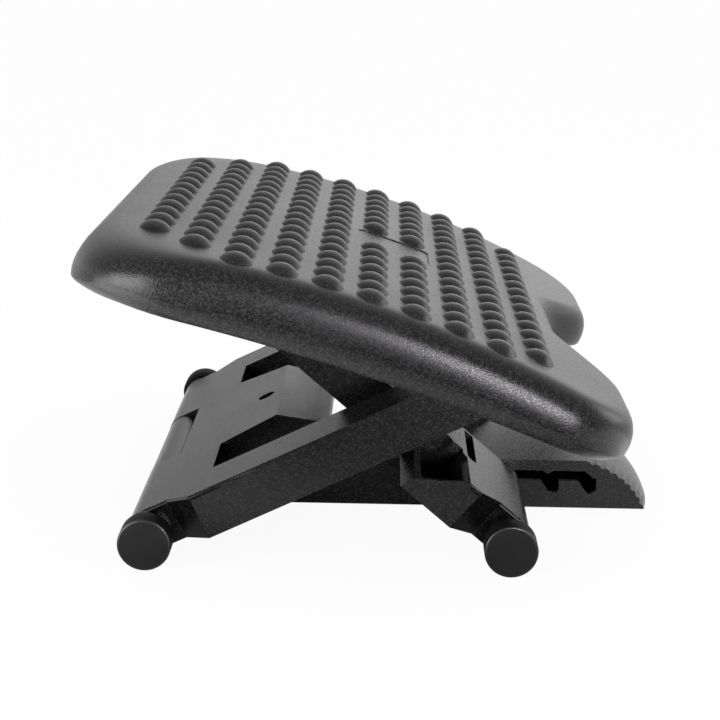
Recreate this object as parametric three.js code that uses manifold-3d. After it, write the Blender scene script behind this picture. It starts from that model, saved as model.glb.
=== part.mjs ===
// A tilting footrest for use under a desk. A wide moulded tray with rows of
// massage domes rocks on two leg frames that cross like scissors. The rear
// frame is hinged to a slotted rail box, and the front frame carries a steel
// pin that sits in one of three notches of that box, for three heights.
// Units are millimetres, +Z is up, +X is the front, +Y is across the width.
// The origin is on the floor, midway between the two foot bars.

import * as THREE from 'three'
import { mergeVertices, mergeGeometries } from 'three/addons/utils/BufferGeometryUtils.js'
import Module from 'manifold-3d'

const wasm = await Module()
wasm.setup()

// Clearances and drawing steps
const seat_gap = 0.3
const bore_gap = 0.3
const cut_overrun = 2
const weld_tolerance = 0.0001
const bar_facets = 22
const rod_facets = 12
const screw_facets = 8
const arc_facets = 8

// Stance on the floor
const foot_spacing = 234
const foot_overhang = 13.25
const neck_inset = 14
const foot_cap_radius = 17.25
const foot_cap_length = 15
const foot_cap_face = 3
const foot_cap_chamfer = 1

// Both leg frames are moulded channels with the same section
const frame_half_width = 174
const foot_half_span = frame_half_width + foot_overhang
const neck_half_width = frame_half_width - neck_inset
const neck_length = 20
const flare_length = 37
const frame_rise = 14.3
const frame_drop = 17
const frame_skin = 3.5
const frame_rib = 2.5
const hinge_rod_radius = 3

// Rear frame: two outer arms and a tongue that straddles the rail box
const rear_leg_angle = THREE.MathUtils.degToRad(25.8)
const rear_leg_length = 250
const rear_panel_length = 50
const rear_arm_width = 42.5
const rear_arm_inner = frame_half_width - rear_arm_width
const barrel_notch_half_width = 56.6
const barrel_notch_length = 16.7
const tongue_root_half_width = 79
const tongue_fold_half_width = 67.5
const tongue_fold_length = 92
const nose_length = 114.5
const nose_tip_length = 123.4
const nose_drop = 16.3
const nose_tip_drop = 18.7
const nose_half_width = 63
const tongue_skirt = 20
const skirt_rise = 8.5
const tongue_hole_radius = 6.4
const tongue_hole_length = 79
const rear_arm_ribs = 3

// Front frame: it straddles the rail box and passes inside the rear arms
const front_leg_angle = THREE.MathUtils.degToRad(40.5)
const front_leg_length = 255
const front_block_length = 47
const front_notch_half_width = 53
const front_notch_length = 100
const bearer_room = 25.5
const front_arm_half_width = rear_arm_inner - bearer_room
const front_shoulder_width = 15
const front_shoulder_half_width = front_arm_half_width + front_shoulder_width
const front_arm_length = 63
const front_web_length = 214
const flange_crest_length = 46.5
const flange_back_length = 76
const flange_toe_length = 79.3
const flange_back_drop = 21.3
const front_slot_start = 38.5
const front_slot_width = 8
const front_slot_inset = 3
const front_slot_half_span = front_shoulder_half_width - front_slot_inset
const front_arm_ribs = 4
const foot_pin_radius = 2.5
const foot_pin_drop = 2.5
const foot_pin_half_length = 76
const rod_end_room = 5

// Rail box on the floor between the foot bars
const rail_half_width = 51
const rail_wall = 3.5
const rail_skin = 3
const rail_height = 35.2
const rail_length = 338
const rail_shoulder = 62
const rail_throat_height = 28.7
const rail_throat_length = 8
const rail_nose_start = 295
const rail_nose_bulge = 6
const rail_nose_bend = 8.8
const nose_bend_share = 0.72
const throat_solid_length = 15
const barrel_radius = 14
const barrel_half_length = 56
const rail_rib_width = 14
const rail_rib_spacing = 50
const track_bottom = 20.2
const track_height = 7.2
const track_back = 229.5
const notch_radius = 4
const notch_depth = 5.6
const notch_spacings = [0, 37.5, 64]
const notch_setforward = 1.1
const notch_mouth = 8.8
const notch_slant = THREE.MathUtils.degToRad(36)
const cusp_depth = 2.4
const cusp_width = 8

// Tray, drawn flat along its arc and then bent to the arc
const tray_overhang = 42.3
const tray_half_width = frame_half_width + tray_overhang
const tray_rear_reach = 177.5
const tray_front_reach = 207.5
const tray_notch_depth = 44
const tray_notch_half_width = 40
const tray_lobe_half_width = 120
const tray_rear_corner = 63
const tray_rear_corner_spread = 1.9
const tray_front_corner = 53
const tray_arc_radius = 800
const tray_apex_setback = 12.2
const tray_rod_drop = 30.8
const tray_wall = 3
const tray_roll_width = 21
const tray_roll_height = 25
const side_roll_squareness = 1
const tray_rim_depth = 43.4
const tray_rim_rise = 10.2
const tray_rim_lean = 5.6
const tray_droop = 4.2
const tray_droop_start = 130
const tray_droop_length = 40
const tray_rim_rise_length = 180
const corner_steps = 4
const middle_steps = 6
const outer_roll_steps = 4
const inner_roll_steps = 2
const half_width_shares = [0.12, 0.24, 0.34, 0.43, 0.53, 0.63, 0.8, 1]

// Massage domes in columns across the tray, as many as its flat part holds
const dome_column_pitch = 28.4
const dome_row_pitch = 25.7
const dome_radius = 10.4
const dome_height = 5.5
const dome_field_shift = 6.7
const dome_root = 1
const dome_facets = 6
const dome_waist_share = 0.57
const flat_front = tray_front_reach - tray_notch_depth - tray_roll_width
const flat_rear = tray_roll_width - tray_rear_reach
const dome_columns = Math.floor((flat_front - flat_rear) / dome_column_pitch)
const dome_rows = Math.floor((tray_half_width - tray_roll_width) / dome_row_pitch + 1 / 2) * 2
const dome_field_middle = (flat_front + flat_rear) / 2 + dome_field_shift

// Bearers under the tray hold both hinge rods
const bearer_gap = 5.75
const bearer_width = bearer_room - bearer_gap * 2
const bearer_half_spacing = front_arm_half_width + bearer_room / 2
const lug_width = 8
const lug_gap = 4
const lug_foot = 26
const keeper_thickness = 5
const keeper_length = 34
const screw_spacing = 22
const screw_radius = 1.75
const screw_head_radius = 3.6
const screw_head_height = 2.4
const head_crown_share = 0.4
const screw_grip = 8
const screw_hole_depth = 10
const rod_overhang = 4
const stiffener_depth = 12
const stiffener_width = 2.5
const rod_chamfer_share = 1 / 4

// Finishes
const grained_black = { name: 'grained_black_plastic', color: 0x2c2c2f, roughness: 0.55, metalness: 0 }
const frame_black = { name: 'frame_black_plastic', color: 0x303033, roughness: 0.7, metalness: 0 }
const rubber_black = { name: 'rubber_black', color: 0x1d1d1e, roughness: 0.85, metalness: 0 }
const rod_steel = { name: 'rod_steel', color: 0x9a9c9f, roughness: 0.35, metalness: 1 }
const screw_steel = { name: 'screw_steel', color: 0x6c6d70, roughness: 0.4, metalness: 1 }

// Places worked out from the sizes above
const foot_bar_radius = frame_rise
const rear_rod_half = barrel_half_length + foot_pin_half_length - front_notch_half_width
const throat_slope = (rail_height - rail_throat_height) / (rail_shoulder - rail_throat_length)
const rod_bore_radius = hinge_rod_radius + bore_gap
const pin_bore_radius = foot_pin_radius + bore_gap
const arm_end_radius = (frame_rise + frame_drop) / 2
const arm_end_height = (frame_rise - frame_drop) / 2
const leg_point = (angle, along, above) => new THREE.Vector2(
  along * Math.cos(angle) - above * Math.sin(angle),
  foot_cap_radius + along * Math.sin(angle) + above * Math.cos(angle))
const front_rod_place = leg_point(rear_leg_angle, rear_leg_length, arm_end_height)
const rear_rod_offset = leg_point(front_leg_angle, front_leg_length, arm_end_height)
const rear_rod_place = new THREE.Vector2(foot_spacing - rear_rod_offset.x, rear_rod_offset.y)
const rod_spacing = front_rod_place.distanceTo(rear_rod_place)
const tray_slope = Math.atan2(rear_rod_place.y - front_rod_place.y, front_rod_place.x - rear_rod_place.x)

// A three.js geometry as a solid that can be cut and joined
const solid = geometry => {
  const bare = new THREE.BufferGeometry()
  bare.setAttribute('position', geometry.attributes.position)
  bare.setIndex(geometry.index)
  const merged = mergeVertices(bare, weld_tolerance)
  return new wasm.Manifold(new wasm.Mesh({
    numProp: 3,
    vertProperties: merged.attributes.position.array,
    triVerts: new Uint32Array(merged.index.array),
  }))
}

const geometry_of = body => {
  const mesh = body.getMesh()
  const geometry = new THREE.BufferGeometry()
  geometry.setAttribute('position', new THREE.BufferAttribute(mesh.vertProperties, 3))
  geometry.setIndex(new THREE.BufferAttribute(mesh.triVerts, 1))
  geometry.computeVertexNormals()
  return geometry
}

const join = bodies => bodies.reduce((whole, body) => whole.add(body))
const outline = points => new THREE.Shape(points.map(([x, y]) => new THREE.Vector2(x, y)))

// A side outline in length and height, swept across the width
const across = (shape, from, to, steps = 1) => new THREE.ExtrudeGeometry(
  shape, { depth: to - from, steps, bevelEnabled: false, curveSegments: arc_facets })
  .rotateX(Math.PI / 2).translate(0, to, 0)
const across_solid = (shape, from, to) => solid(across(shape, from, to))

// A plan outline in length and width, raised from one height to another
const upright_solid = (shape, bottom, top) => solid(new THREE.ExtrudeGeometry(
  shape, { depth: top - bottom, bevelEnabled: false, curveSegments: arc_facets })
  .translate(0, 0, bottom))

const block = (x0, x1, y0, y1, z0, z1) => solid(
  new THREE.BoxGeometry(x1 - x0, y1 - y0, z1 - z0)
    .translate((x0 + x1) / 2, (y0 + y1) / 2, (z0 + z1) / 2))
const both_sides = make => make(1).add(make(-1))
const side_block = (side, x0, x1, inner, outer, z0, z1) => block(
  x0, x1, Math.min(side * inner, side * outer), Math.max(side * inner, side * outer), z0, z1)

// A round bar along the width
const bar = (radius, from, to, x = 0, z = 0, facets = bar_facets) => solid(
  new THREE.CylinderGeometry(radius, radius, to - from, facets)
    .translate(x, (from + to) / 2, z))
const side_bar = (side, radius, inner, outer, x, z, facets) => bar(
  radius, Math.min(side * inner, side * outer), Math.max(side * inner, side * outer), x, z, facets)

const mirrored = half => outline([...half, ...half.slice().reverse().map(([x, y]) => [x, -y])])

// The section that both leg frames share, from the foot bar to the round arm end
const leg_side = length => {
  const shape = new THREE.Shape()
  shape.moveTo(0, -foot_bar_radius)
  shape.lineTo(neck_length, -foot_bar_radius)
  shape.lineTo(flare_length, -frame_drop)
  shape.lineTo(length, -frame_drop)
  shape.absarc(length, arm_end_height, arm_end_radius, -Math.PI / 2, Math.PI / 2)
  shape.lineTo(0, frame_rise)
  shape.absarc(0, 0, foot_bar_radius, Math.PI / 2, Math.PI * 1.5)
  return shape
}

// Foot bar stubs at both sides, which the rubber caps slide over
const bar_end = foot_half_span - foot_cap_face - seat_gap
const foot_stub = (side, inner) => side_bar(side, foot_bar_radius, inner, bar_end)
const below = -frame_drop - cut_overrun
const skin_below = frame_rise - frame_skin
const above = frame_rise + cut_overrun

// Channel pockets, open below, with cross ribs left between them
const channel = (side, from, to, inner, outer, ribs) => {
  const cell = (to - from - ribs * frame_rib) / (ribs + 1)
  const cells = Array.from({ length: ribs + 1 }, (_, i) => from + i * (cell + frame_rib))
  return join(cells.map(start => side_block(side, start, start + cell, inner, outer, below, skin_below)))
}

const rear_frame = () => {
  const span = frame_half_width + cut_overrun
  const reach = rear_leg_length + arm_end_radius
  const plan = mirrored([
    [-foot_bar_radius, neck_half_width], [neck_length, neck_half_width],
    [flare_length, frame_half_width], [reach + cut_overrun, frame_half_width]])
  const ladder = across_solid(leg_side(rear_leg_length), -span, span)
    .intersect(upright_solid(plan, below, above))
    .subtract(block(rear_panel_length, reach + cut_overrun,
      -rear_arm_inner, rear_arm_inner, below, above))
    .subtract(block(-foot_bar_radius - cut_overrun, barrel_notch_length,
      -barrel_notch_half_width, barrel_notch_half_width, below, above))
  const stubs = both_sides(side => foot_stub(side, barrel_notch_half_width))

  // The tongue: a skin folded down to its nose, with a skirt along each side
  const fold = frame_rise
  const nose = frame_rise - nose_drop
  const tip = frame_rise - nose_tip_drop
  const root = rear_panel_length - frame_skin
  const skin = outline([
    [root, fold], [tongue_fold_length, fold], [nose_length, nose], [nose_tip_length, tip],
    [nose_tip_length, tip - frame_skin], [nose_length - frame_skin, nose - frame_skin],
    [tongue_fold_length - frame_skin, skin_below], [root, skin_below]])
  const skirt = outline([
    [root, fold], [tongue_fold_length, fold], [nose_length, nose], [nose_tip_length, tip],
    [nose_tip_length, tip - frame_skin], [nose_length, -skirt_rise],
    [tongue_fold_length, fold - tongue_skirt], [root, fold - tongue_skirt]])
  const edge = inset => mirrored([
    [root - inset, tongue_root_half_width - inset], [rear_panel_length, tongue_root_half_width - inset],
    [tongue_fold_length, tongue_fold_half_width - inset],
    [nose_tip_length + inset, nose_half_width - inset]])
  const tongue_half = tongue_root_half_width + cut_overrun
  const tongue = across_solid(skin, -tongue_half, tongue_half)
    .add(across_solid(skirt, -tongue_half, tongue_half)
      .subtract(upright_solid(edge(frame_skin), below, above)))
    .intersect(upright_solid(edge(0), below, above))
  const hole = new THREE.Shape().absarc(tongue_hole_length, 0, tongue_hole_radius, 0, Math.PI * 2)

  // Under the panel the frame is open, so that the rail box can nest in it
  const panel_outer = neck_half_width - frame_skin
  const pockets = [
    block(-foot_bar_radius, rear_panel_length + cut_overrun, -barrel_notch_half_width,
      barrel_notch_half_width, below, skin_below),
    both_sides(side => channel(side, neck_length, rear_panel_length - frame_skin,
      barrel_notch_half_width + frame_skin, panel_outer, 0)
      .subtract(side_block(side, neck_length, rear_panel_length,
        rear_arm_inner, rear_arm_inner + frame_rib, below, skin_below))),
    both_sides(side => channel(side, rear_panel_length, rear_leg_length - arm_end_radius,
      rear_arm_inner + frame_skin, frame_half_width - frame_skin, rear_arm_ribs)),
  ]
  const bores = [
    bar(rod_bore_radius, -rear_rod_half - rod_end_room, rear_rod_half + rod_end_room, 0, 0, rod_facets),
    bar(rod_bore_radius, -span, span, rear_leg_length, arm_end_height, rod_facets),
  ]
  return ladder.add(stubs).subtract(join(pockets)).add(tongue)
    .subtract(upright_solid(hole, -cut_overrun, above))
    .subtract(join(bores))
}

const front_frame = () => {
  const span = frame_half_width + cut_overrun
  const reach = front_leg_length + arm_end_radius
  const plan = mirrored([
    [-foot_bar_radius, neck_half_width], [neck_length, neck_half_width],
    [flare_length, frame_half_width], [front_block_length, frame_half_width],
    [front_block_length, front_shoulder_half_width],
    [front_arm_length, front_arm_half_width], [reach + cut_overrun, front_arm_half_width]])
  const core = across_solid(leg_side(front_leg_length), -span, span)
    .intersect(upright_solid(plan, below, above))

  // Outer flanges: cut off aslant to clear the rear arms, and hollow inside
  const toe = frame_rise - flange_back_drop
  const flange_side = outline([
    [neck_length, -foot_bar_radius], [flare_length, -frame_drop], [flange_toe_length, -frame_drop],
    [flange_back_length, toe], [flange_crest_length, frame_rise], [neck_length, frame_rise]])
  const flange_plan = side => outline([
    [neck_length, side * front_arm_half_width], [neck_length, side * neck_half_width],
    [flare_length, side * frame_half_width], [flange_toe_length, side * frame_half_width],
    [flange_toe_length, side * front_arm_half_width]])
  const flange = side => across_solid(flange_side, -span, span)
    .intersect(upright_solid(flange_plan(side), below, above))
  const hollow = outline([
    [front_block_length + frame_skin, above], [flange_back_length - frame_skin, above],
    [flange_back_length - frame_skin, toe], [flange_toe_length - frame_skin, frame_skin - frame_drop],
    [front_block_length + frame_skin, frame_skin - frame_drop]])
  const hollows = both_sides(side => across_solid(hollow,
    Math.min(side * (front_arm_half_width + frame_skin), side * (frame_half_width - frame_skin)),
    Math.max(side * (front_arm_half_width + frame_skin), side * (frame_half_width - frame_skin))))

  // The notch for the rail box, and the skin that ties the arms above it
  const notch = block(-foot_bar_radius - cut_overrun, reach + cut_overrun,
    -front_notch_half_width, front_notch_half_width, below, above)
  const web = block(front_notch_length, front_web_length,
    -front_notch_half_width - frame_skin, front_notch_half_width + frame_skin, skin_below, frame_rise)
  const stubs = both_sides(side => foot_stub(side, front_notch_half_width))

  // Slots across the front skin, each with a round outer end
  const slot = side => {
    const radius = front_slot_width / 2
    const middle = front_slot_start + radius
    const end = front_slot_half_span - radius
    return side_block(side, front_slot_start, front_slot_start + front_slot_width,
      front_notch_half_width + frame_skin, end, -cut_overrun, above)
      .add(upright_solid(new THREE.Shape().absarc(middle, side * end, radius, 0, Math.PI * 2),
        -cut_overrun, above))
  }
  const inner = front_notch_half_width + frame_skin
  const arm_outer = front_arm_half_width - frame_skin
  const middle_rib = (inner + arm_outer - frame_rib) / 2
  const arm_start = front_slot_start + front_slot_width + frame_skin
  const arm_stop = front_leg_length - arm_end_radius
  const pockets = [
    both_sides(side => channel(side, neck_length, front_slot_start + front_slot_width,
      inner, neck_half_width - frame_skin, 0)
      .subtract(side_block(side, neck_length, front_slot_start + front_slot_width,
        front_arm_half_width, front_arm_half_width + frame_rib, below, skin_below))),
    both_sides(side => channel(side, arm_start, arm_stop, inner, middle_rib, front_arm_ribs)),
    both_sides(side => channel(side, arm_start, arm_stop, middle_rib + frame_rib, arm_outer,
      front_arm_ribs)),
  ]
  const pin_along = -foot_pin_drop * Math.sin(front_leg_angle)
  const pin_above = -foot_pin_drop * Math.cos(front_leg_angle)
  const bores = [
    bar(pin_bore_radius, -foot_pin_half_length - bore_gap, foot_pin_half_length + bore_gap,
      pin_along, pin_above, rod_facets),
    bar(rod_bore_radius, -span, span, front_leg_length, arm_end_height, rod_facets),
  ]
  return core.add(both_sides(flange)).subtract(notch).add(stubs).add(web)
    .subtract(hollows).subtract(join(pockets)).subtract(both_sides(slot)).subtract(join(bores))
}

// Rubber cap over the end of a foot bar: a cup with a chamfered face
const foot_cap = () => {
  const bore = foot_bar_radius + bore_gap
  const profile = [
    [0, 0], [foot_cap_radius - foot_cap_chamfer, 0], [foot_cap_radius, foot_cap_chamfer],
    [foot_cap_radius, foot_cap_length], [bore, foot_cap_length], [bore, foot_cap_face],
    [0, foot_cap_face]]
  return solid(new THREE.LatheGeometry(
    profile.map(([radius, depth]) => new THREE.Vector2(radius, depth)), bar_facets))
}

// Rail box: the side outline, bulged at its nose, drawn with a wall taken off
const rail_body = wall => {
  const skin = wall > 0 ? rail_skin : 0
  const top = rail_height - skin
  const end = rail_length - wall
  const bottom = wall > 0 ? -cut_overrun : 0
  const back = wall > 0 ? throat_solid_length : rail_throat_length
  const shape = new THREE.Shape()
  shape.moveTo(back, bottom)
  shape.lineTo(end, bottom)
  shape.lineTo(end, skin)
  shape.quadraticCurveTo(end - rail_nose_bend, top * nose_bend_share, rail_nose_start, top)
  shape.lineTo(rail_shoulder, top)
  shape.lineTo(back, rail_throat_height - skin + (back - rail_throat_length) * throat_slope)
  const half = rail_half_width - wall
  const geometry = across(shape, -half, half, arc_facets)
  const places = geometry.attributes.position
  for (let i = 0; i < places.count; i += 1) {
    const bulge = rail_nose_bulge * (1 - (places.getY(i) / rail_half_width) ** 2)
    if (places.getX(i) > rail_nose_start - weld_tolerance) places.setX(i, places.getX(i) + bulge)
  }
  return solid(geometry)
}

// The track along each wall, with three notches below it and a cusp above each
const track_cut = () => {
  const from = -rail_half_width - cut_overrun
  const to = rail_half_width + cut_overrun
  const top = track_bottom + track_height
  const first = foot_spacing + notch_setforward
  const last = first + notch_spacings[notch_spacings.length - 1]
  const band = outline([
    [track_back, track_bottom], [last, track_bottom], [last + notch_radius, track_bottom],
    [last - notch_radius, top], [track_back, top]])
  const notch = spacing => {
    const x = first + spacing
    const shape = new THREE.Shape()
    shape.moveTo(x - notch_mouth, track_bottom + cut_overrun)
    shape.lineTo(x - notch_mouth, track_bottom)
    shape.absarc(x, track_bottom - notch_depth, notch_radius, Math.PI + notch_slant, Math.PI * 2)
    shape.lineTo(x + notch_radius, track_bottom + cut_overrun)
    return across_solid(shape, from, to)
  }
  const cusp = spacing => across_solid(outline([
    [first + spacing - notch_radius - cusp_width / 2, top + cut_overrun],
    [first + spacing - notch_radius - cusp_width / 2, top],
    [first + spacing - notch_radius, top - cusp_depth],
    [first + spacing - notch_radius + cusp_width / 2, top],
    [first + spacing - notch_radius + cusp_width / 2, top + cut_overrun]]), from, to)
  return across_solid(band, from, to).subtract(cusp(notch_spacings[1]))
    .add(join(notch_spacings.map(notch)))
}

const rail_box = () => {
  const shell = rail_body(0).subtract(rail_body(rail_wall))
  const middle = foot_spacing / 2
  const cross_rib = (x, width) => block(x - width / 2, x + width / 2, -rail_half_width + rail_wall / 2,
    rail_half_width - rail_wall / 2, 0, rail_height - rail_skin / 2)
  const ribs = [cross_rib(middle, rail_rib_width),
    ...[-1, 1].map(way => cross_rib(middle + way * rail_rib_spacing, rail_wall))]
  return shell.add(join(ribs))
    .add(bar(barrel_radius, -barrel_half_length, barrel_half_length, 0, foot_cap_radius))
    .add(block(0, throat_solid_length, -rail_half_width, rail_half_width,
      foot_cap_radius - barrel_radius, rail_throat_height - rail_skin))
    .subtract(bar(rod_bore_radius, -barrel_half_length - cut_overrun, barrel_half_length + cut_overrun,
      0, foot_cap_radius, rod_facets))
    .subtract(track_cut())
}

// The tray is a mapped grid: rows run along its length, columns across it
const last_line = corner_steps * 2 + middle_steps
const length_lines = Array.from({ length: last_line + 1 }, (_, i) => i)
const width_shares = [...half_width_shares.map(share => -share).reverse(), 0, ...half_width_shares]
const quarter_turn = steps => Array.from({ length: steps + 1 }, (_, i) => i / steps * Math.PI / 2)
const outer_roll_angles = quarter_turn(outer_roll_steps)
const inner_roll_angles = quarter_turn(inner_roll_steps)

const smooth = value => value * value * (3 - 2 * value)
const front_edge = (across_place, inset) => {
  const ramp = (Math.abs(across_place) - tray_notch_half_width)
    / (tray_lobe_half_width - tray_notch_half_width)
  const lobe = smooth(Math.min(Math.max(ramp, 0), 1))
  return tray_front_reach - inset - tray_notch_depth * (1 - lobe)
}

// Place along the tray and narrowing of one grid line, which follows the round
// corners at both ends and is evenly spaced between them
const length_line = (line, inset) => {
  const rear_corner = tray_rear_corner + inset * tray_rear_corner_spread
  const front_corner = tray_front_corner - inset
  const rear = inset - tray_rear_reach
  const front = tray_front_reach - inset
  if (line <= corner_steps) {
    const angle = line / corner_steps * Math.PI / 2
    return [rear + rear_corner * (1 - Math.cos(angle)), rear_corner * (1 - Math.sin(angle))]
  }
  const left = last_line - line
  if (left <= corner_steps) {
    const angle = left / corner_steps * Math.PI / 2
    return [front - front_corner * (1 - Math.cos(angle)), front_corner * (1 - Math.sin(angle))]
  }
  const share = (line - corner_steps) / middle_steps
  return [(rear + rear_corner) * (1 - share) + (front - front_corner) * share, 0]
}
const tray_place = (line, width_share, inset) => {
  const half = tray_half_width - inset
  const rear = inset - tray_rear_reach
  const [along, narrowing] = length_line(line, inset)
  const front = front_edge(width_share * (half + inset - tray_front_corner), inset)
  const reach_share = (front - rear) / (tray_front_reach - inset - rear)
  return [rear + (along - rear) * reach_share, width_share * (half - narrowing)]
}

// Points of the flat drawing bent to the tray's arc, with its rear end drooping
const bend = (along, side, height) => {
  const turn = along / tray_arc_radius
  const past = Math.max(-along - tray_droop_start, 0) / tray_droop_length
  const radius = tray_arc_radius + height - tray_droop * past ** 2
  return [radius * Math.sin(turn) - tray_apex_setback, side,
    tray_rod_drop - tray_arc_radius + radius * Math.cos(turn)]
}

// The rim rolls over as a quarter of an ellipse at both ends. Along the sides
// the ellipse is squarer, so that the flat top reaches further out.
const roll_place = (line, width_share, angle, wall) => {
  const from_end = Math.min(line, last_line - line) / corner_steps
  const squareness = Math.abs(width_share) < 1 ? 0 : smooth(Math.min(from_end, 1))
  const power = 2 / (2 + side_roll_squareness * squareness)
  const inset = wall + (tray_roll_width - wall) * (1 - Math.sin(angle) ** power)
  const depth = wall + (tray_roll_height - wall) * (1 - Math.cos(angle) ** power)
  return [...tray_place(line, width_share, inset), -depth]
}
const rim_places = [
  ...length_lines.map(line => [line, -1]),
  ...width_shares.slice(1).map(share => [last_line, share]),
  ...length_lines.slice(0, -1).reverse().map(line => [line, 1]),
  ...width_shares.slice(1, -1).reverse().map(share => [0, share])]

const tray_shell = () => {
  const points = []
  const faces = []
  const add_point = (along, side, height) => points.push(...bend(along, side, height)) / 3 - 1
  const add_ring = (angle, wall) => rim_places.map(([line, width_share]) => add_point(
    ...roll_place(line, width_share, angle, wall)))
  const add_rim_edge = inset => rim_places.map(([line, width_share]) => {
    const [along, side] = tray_place(line, width_share, inset)
    return add_point(along, side, tray_rim_rise * (along / tray_rim_rise_length) ** 2 - tray_rim_depth)
  })
  const strip = (outer, inner) => outer.forEach((corner, i) => {
    const next = (i + 1) % outer.length
    faces.push(corner, outer[next], inner[next], corner, inner[next], inner[i])
  })

  // Fills a ring with its grid, facing up or down
  const fill = (ring, inset, height, turned) => {
    const lookup = new Map(rim_places.map(([l, w], i) => [`${l} ${w}`, ring[i]]))
    const at = (l, w) => {
      const key = `${l} ${w}`
      if (!lookup.has(key)) lookup.set(key, add_point(...tray_place(l, w, inset), height))
      return lookup.get(key)
    }
    for (let line = 1; line < length_lines.length; line += 1) {
      for (let j = 1; j < width_shares.length; j += 1) {
        const a = at(line - 1, width_shares[j - 1])
        const b = at(line, width_shares[j - 1])
        const c = at(line, width_shares[j])
        const d = at(line - 1, width_shares[j])
        if (turned) faces.push(a, c, b, a, d, c)
        else faces.push(a, b, c, a, c, d)
      }
    }
  }
  const outer_rings = outer_roll_angles.map(angle => add_ring(angle, 0))
  outer_rings.push(add_rim_edge(tray_rim_lean))
  const inner_rings = inner_roll_angles.map(angle => add_ring(angle, tray_wall))
  inner_rings.push(add_rim_edge(tray_rim_lean + tray_wall))
  fill(outer_rings[0], tray_roll_width, 0, false)
  fill(inner_rings[0], tray_roll_width, -tray_wall, true)
  outer_rings.slice(1).forEach((ring, i) => strip(ring, outer_rings[i]))
  inner_rings.slice(1).forEach((ring, i) => strip(inner_rings[i], ring))
  strip(inner_rings[inner_rings.length - 1], outer_rings[outer_rings.length - 1])
  const geometry = new THREE.BufferGeometry()
  geometry.setAttribute('position', new THREE.Float32BufferAttribute(points, 3))
  geometry.setIndex(faces)
  return solid(geometry)
}

// One dome: an apex, a waist ring and a root ring sunk into the skin. The two
// rings are half a step apart, so that the dome's foot has twice their corners.
const dome_geometry = (along, side) => {
  const ball = (dome_radius ** 2 + dome_height ** 2) / (2 * dome_height)
  const waist = dome_radius * dome_waist_share
  const waist_height = Math.sqrt(ball ** 2 - waist ** 2) - (ball - dome_height)
  const flare = (dome_radius - waist) * dome_root / waist_height
  const ring = (radius, height, shift) => Array.from({ length: dome_facets }, (_, i) => {
    const angle = (i + shift) / dome_facets * Math.PI * 2
    return [radius * Math.cos(angle), radius * Math.sin(angle), height]
  })
  const points = [[0, 0, dome_height], [0, 0, -dome_root],
    ...ring(waist, waist_height, 1 / 2), ...ring(dome_radius + flare, -dome_root, 0)]
  const faces = []
  for (let i = 0; i < dome_facets; i += 1) {
    const waist_now = 2 + i
    const waist_next = 2 + (i + 1) % dome_facets
    const root_now = waist_now + dome_facets
    const root_next = waist_next + dome_facets
    faces.push(0, waist_now, waist_next, root_now, root_next, waist_now,
      root_next, waist_next, waist_now, 1, root_next, root_now)
  }
  const geometry = new THREE.BufferGeometry()
  geometry.setAttribute('position', new THREE.Float32BufferAttribute(points.flat(), 3))
  geometry.setIndex(faces)
  return geometry.rotateY(along / tray_arc_radius).translate(...bend(along, side, 0))
}

// The end columns leave out domes at the round corners, and a bare plate takes
// the place of four domes at the middle
const corner_skip = column => {
  if (column === 0) return 2
  return column === 1 || column === dome_columns - 1 ? 1 : 0
}
const on_plate = (column, row) => [0, 1].includes(column - Math.floor(dome_columns / 2))
  && [0, 1].includes(row + 1 - dome_rows / 2)

const domes = () => {
  const pieces = []
  for (let column = 0; column < dome_columns; column += 1) {
    const along = dome_field_middle + (column - (dome_columns - 1) / 2) * dome_column_pitch
    for (let row = corner_skip(column); row < dome_rows - corner_skip(column); row += 1) {
      const side = (row - (dome_rows - 1) / 2) * dome_row_pitch
      if (!on_plate(column, row)) pieces.push(dome_geometry(along, side))
    }
  }
  return solid(mergeGeometries(pieces))
}

// Half-round seats under the tray for the two hinge rods, in the tray's frame
const rods_along = [-rod_spacing / 2, rod_spacing / 2]
const skin_height_at = x => tray_rod_drop - tray_arc_radius
  + Math.sqrt(tray_arc_radius ** 2 - (x + tray_apex_setback) ** 2)
const lug = (x, inner, outer, side) => {
  const top = skin_height_at(x) - tray_wall / 2
  const shape = outline([
    [x - lug_foot / 2, top], [x - keeper_length / 2, 0], [x + keeper_length / 2, 0],
    [x + lug_foot / 2, top]])
  return across_solid(shape, Math.min(side * inner, side * outer), Math.max(side * inner, side * outer))
}
const bearer_inner = bearer_half_spacing - bearer_width / 2
const bearer_outer = bearer_half_spacing + bearer_width / 2
const outer_lug_start = frame_half_width + lug_gap
const inner_lug_stop = front_notch_half_width - lug_gap

const stiffener = (from, to, inner, outer, side) => {
  const reach = tray_arc_radius - tray_wall / 2
  const shape = new THREE.Shape()
  const centre = [-tray_apex_setback, tray_rod_drop - tray_arc_radius]
  const start = Math.PI / 2 - from / tray_arc_radius
  const stop = Math.PI / 2 - to / tray_arc_radius
  shape.absarc(...centre, reach, start, stop, true)
  shape.absarc(...centre, reach - stiffener_depth, stop, start, false)
  return across_solid(shape, Math.min(side * inner, side * outer), Math.max(side * inner, side * outer))
}

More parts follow.
